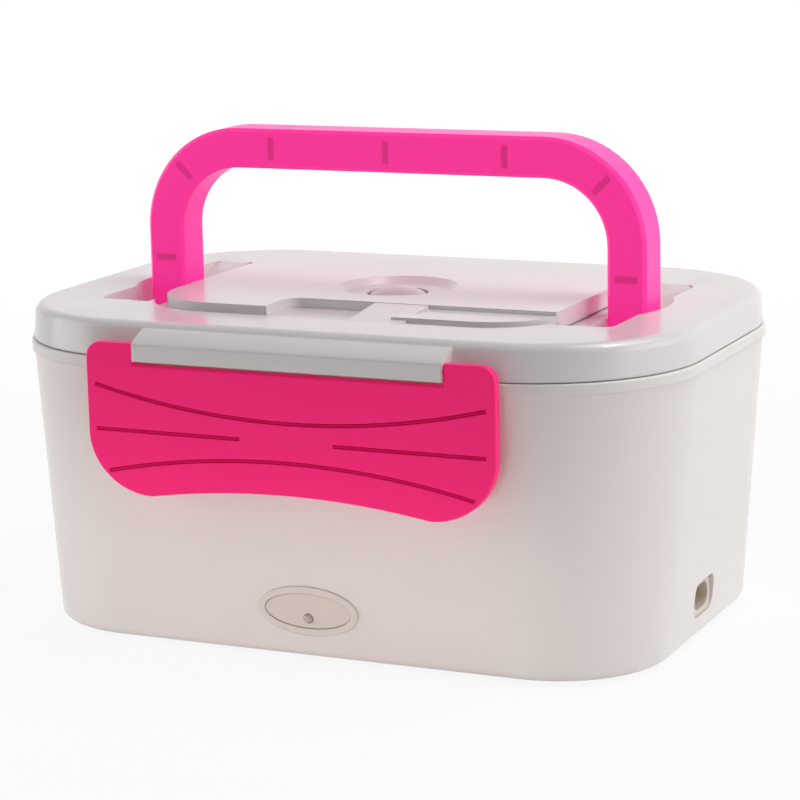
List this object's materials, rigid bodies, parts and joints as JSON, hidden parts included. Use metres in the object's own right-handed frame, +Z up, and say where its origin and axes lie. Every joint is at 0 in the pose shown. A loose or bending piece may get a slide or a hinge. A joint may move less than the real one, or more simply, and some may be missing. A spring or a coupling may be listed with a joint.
{
  "type": "electric lunch box",
  "caption": "Electric lunch box: tapered body with a heated lift-out tray, clip-on lid with flap latches, cutlery bay under a raised cover, and a swinging carrying handle.",
  "frame": {"origin": "middle of the box's footprint, on the surface that its feet stand on", "axes": "+X along the long side, towards the end with the power inlet; -Y is the front, with the oval indicator; +Z up, towards the handle"},
  "size_m": [0.2314, 0.1724, 0.1613],
  "materials": {
    "body_white": "glossy, warm white",
    "lid_white": "glossy, warm white",
    "liner_white": "satin white",
    "tray_white": "satin white",
    "side_lid_clear": "satin, slightly cool white",
    "pink_plastic": "satin hot pink",
    "spoon_plastic": "satin white",
    "plug_silicone": "matte silicone",
    "seal_silicone": "matte silicone",
    "foot_rubber": "matte",
    "plate_aluminium": "satin",
    "heater_case": "satin",
    "bracket_steel": "satin",
    "screw_steel": "satin",
    "thermostat_case": "matte",
    "fuse_case": "matte",
    "inlet_plastic": "satin white",
    "pin_brass": "satin",
    "bezel_grey": "satin light grey",
    "lens_white": "satin, milky",
    "led_clear": "clear, unlit",
    "board_green": "matte",
    "wire_brown": "matte",
    "wire_blue": "matte",
    "wire_white": "matte",
    "wire_black": "matte"
  },
  "bodies": {
    "base": {"outer_body": "body_white", "inner_liner": "liner_white", "bottom_cover": "liner_white", "bottom_screws": "screw_steel", "rubber_feet": "foot_rubber", "heating_plate": "plate_aluminium", "plate_gasket": "seal_silicone", "ptc_heater": "heater_case", "heater_clamp": "bracket_steel", "clamp_screws": "screw_steel", "thermostat": "thermostat_case", "thermal_fuse": "fuse_case", "power_inlet": "inlet_plastic", "inlet_pins": "pin_brass", "indicator_bezel": "bezel_grey", "indicator_lens": "lens_white", "indicator_led": "led_clear", "led_board": "board_green", "live_wire": "wire_brown", "bridge_wire": "wire_white", "heater_wire": "wire_white", "neutral_wire": "wire_blue", "led_wires": "wire_black"},
    "tray": {"food_tray": "tray_white"},
    "side_box": {"side_dish_box": "tray_white"},
    "side_lid": {"side_dish_lid": "side_lid_clear"},
    "lid": {"lid_shell": "lid_white", "lid_liner": "liner_white", "seal_ring": "seal_silicone"},
    "cover": {"cutlery_cover": "lid_white"},
    "plug": {"vent_plug": "plug_silicone"},
    "spoon": {"spoon": "spoon_plastic"},
    "handle": {"handle": "pink_plastic"},
    "front_latch": {"front_latch": "pink_plastic"},
    "rear_latch": {"rear_latch": "pink_plastic"}
  },
  "joints": [
    {"name": "lid_lift", "type": "slide", "parent": "base", "child": "lid", "axis": [0, 0, 1], "range_m": [0, 0.2]},
    {"name": "tray_lift", "type": "slide", "parent": "base", "child": "tray", "axis": [0, 0, 1], "range_m": [0, 0.09]},
    {"name": "side_box_lift", "type": "slide", "parent": "base", "child": "side_box", "axis": [0, 0, 1], "range_m": [0, 0.15]},
    {"name": "side_lid_lift", "type": "slide", "parent": "base", "child": "side_lid", "axis": [0, 0, 1], "range_m": [0, 0.17]},
    {"name": "handle_swing", "type": "hinge", "parent": "lid", "child": "handle", "pos_m": [0, 0, 0.1003], "axis": [1, 0, 0], "range_deg": [-69, 69]},
    {"name": "front_latch_turn", "type": "hinge", "parent": "lid", "child": "front_latch", "pos_m": [0, -0.0841, 0.0992], "axis": [-1, 0, 0], "range_deg": [0, 140]},
    {"name": "rear_latch_turn", "type": "hinge", "parent": "lid", "child": "rear_latch", "pos_m": [0, 0.0841, 0.0992], "axis": [1, 0, 0], "range_deg": [0, 140]},
    {"name": "cover_lift", "type": "slide", "parent": "lid", "child": "cover", "axis": [0, 0, 1], "range_m": [0, 0.028]},
    {"name": "spoon_lift", "type": "slide", "parent": "lid", "child": "spoon", "axis": [0, 0, 1], "range_m": [0, 0.014]},
    {"name": "plug_pull", "type": "slide", "parent": "lid", "child": "plug", "axis": [0, 0, 1], "range_m": [0, 0.012]}
  ],
  "couplings": [
    {"joint": "tray_lift", "follows": "lid_lift", "ratio": 0.45},
    {"joint": "side_box_lift", "follows": "lid_lift", "ratio": 0.75},
    {"joint": "side_lid_lift", "follows": "lid_lift", "ratio": 0.85},
    {"joint": "spoon_lift", "follows": "cover_lift", "ratio": 0.5}
  ]
}
